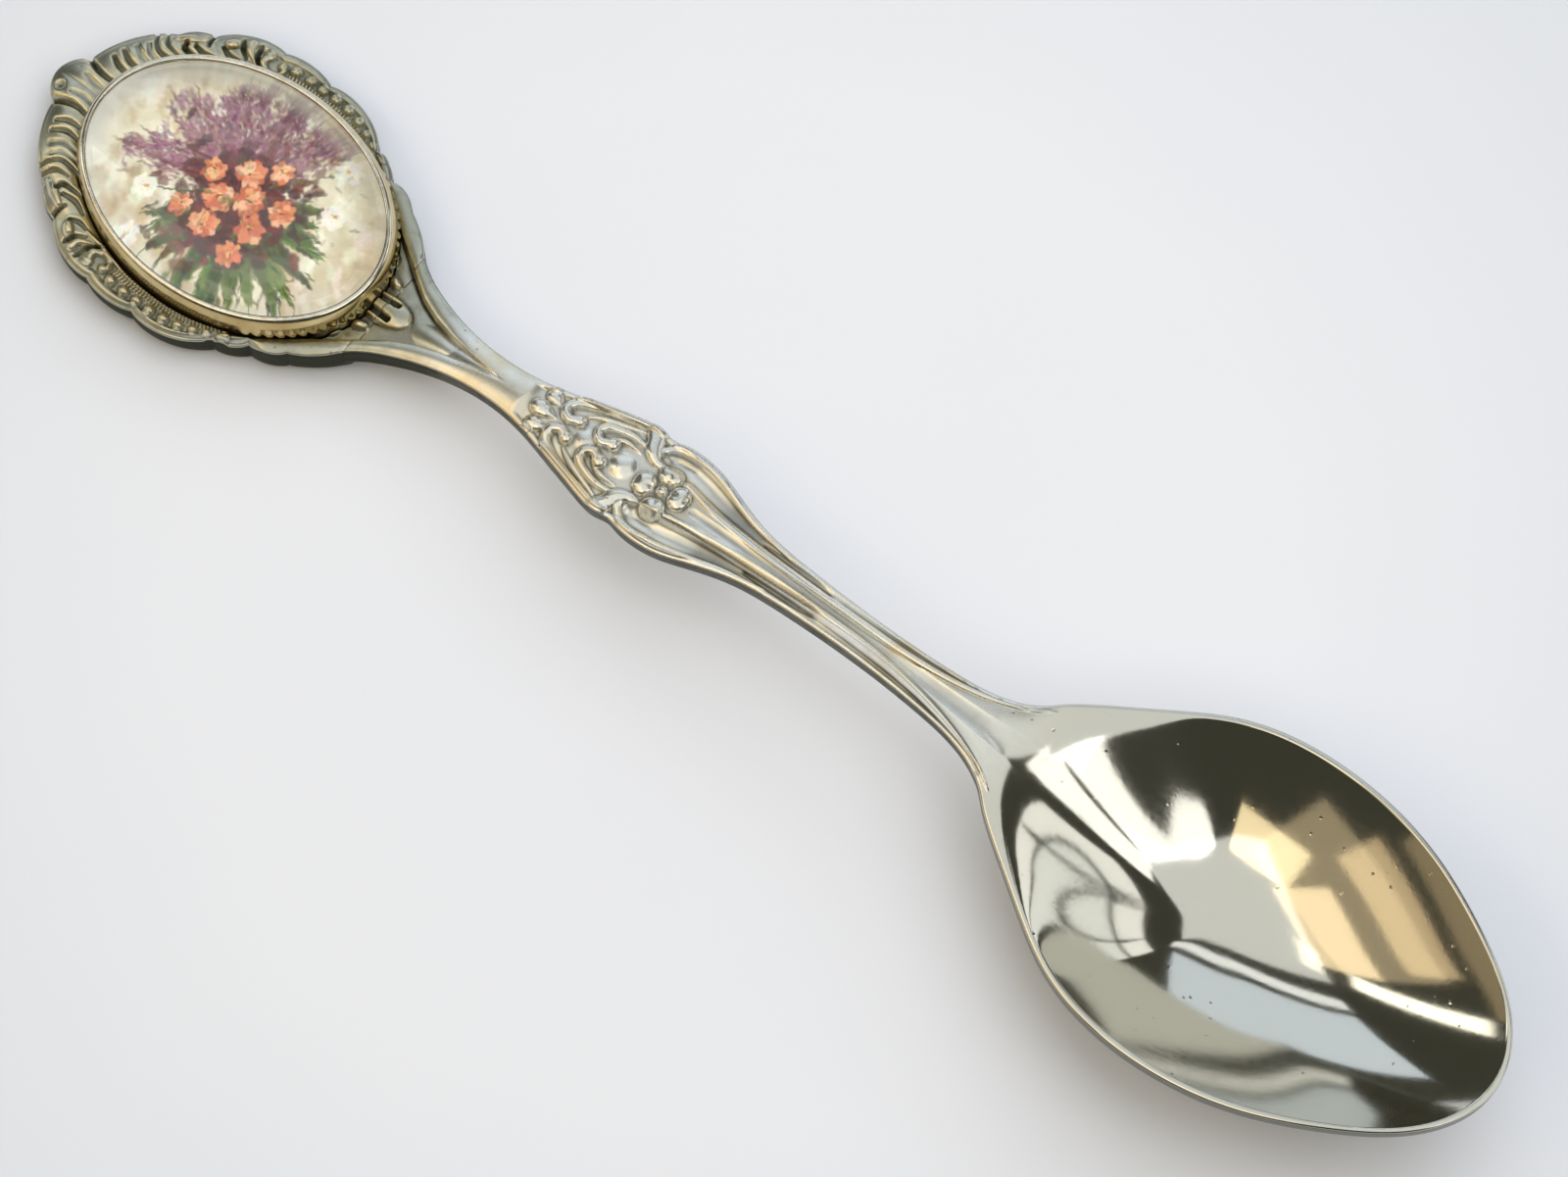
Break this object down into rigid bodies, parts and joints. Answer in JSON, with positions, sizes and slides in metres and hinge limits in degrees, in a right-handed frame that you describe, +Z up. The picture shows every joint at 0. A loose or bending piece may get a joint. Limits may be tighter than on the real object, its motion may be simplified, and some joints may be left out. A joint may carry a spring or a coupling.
{
  "type": "souvenir spoon",
  "caption": "Teaspoon-sized souvenir spoon: oval bowl, tapering stem with a scroll panel, and a scalloped frame holding an oval flower picture under a clear dome.",
  "frame": {"origin": "centre of the footprint, on the surface that the spoon lies on", "axes": "+X along the spoon towards the bowl's tip, +Z up, picture and bowl opening face up"},
  "size_m": [0.1298, 0.0262, 0.0102],
  "materials": {
    "silver_plate": "silver-plated brass, polished bowl, aged and darkened in the ornament of the frame",
    "gilt_collar": "gold-toned, satin, slightly worn",
    "adhesive": "thin film of clear set glue",
    "picture": "printed card with a painted bouquet of flowers",
    "clear_lens": "clear polished dome"
  },
  "bodies": {
    "root": {"spoon_blank": "silver_plate", "bezel_collar": "gilt_collar", "adhesive_film": "adhesive", "picture_card": "picture", "dome_lens": "clear_lens"}
  },
  "joints": []
}
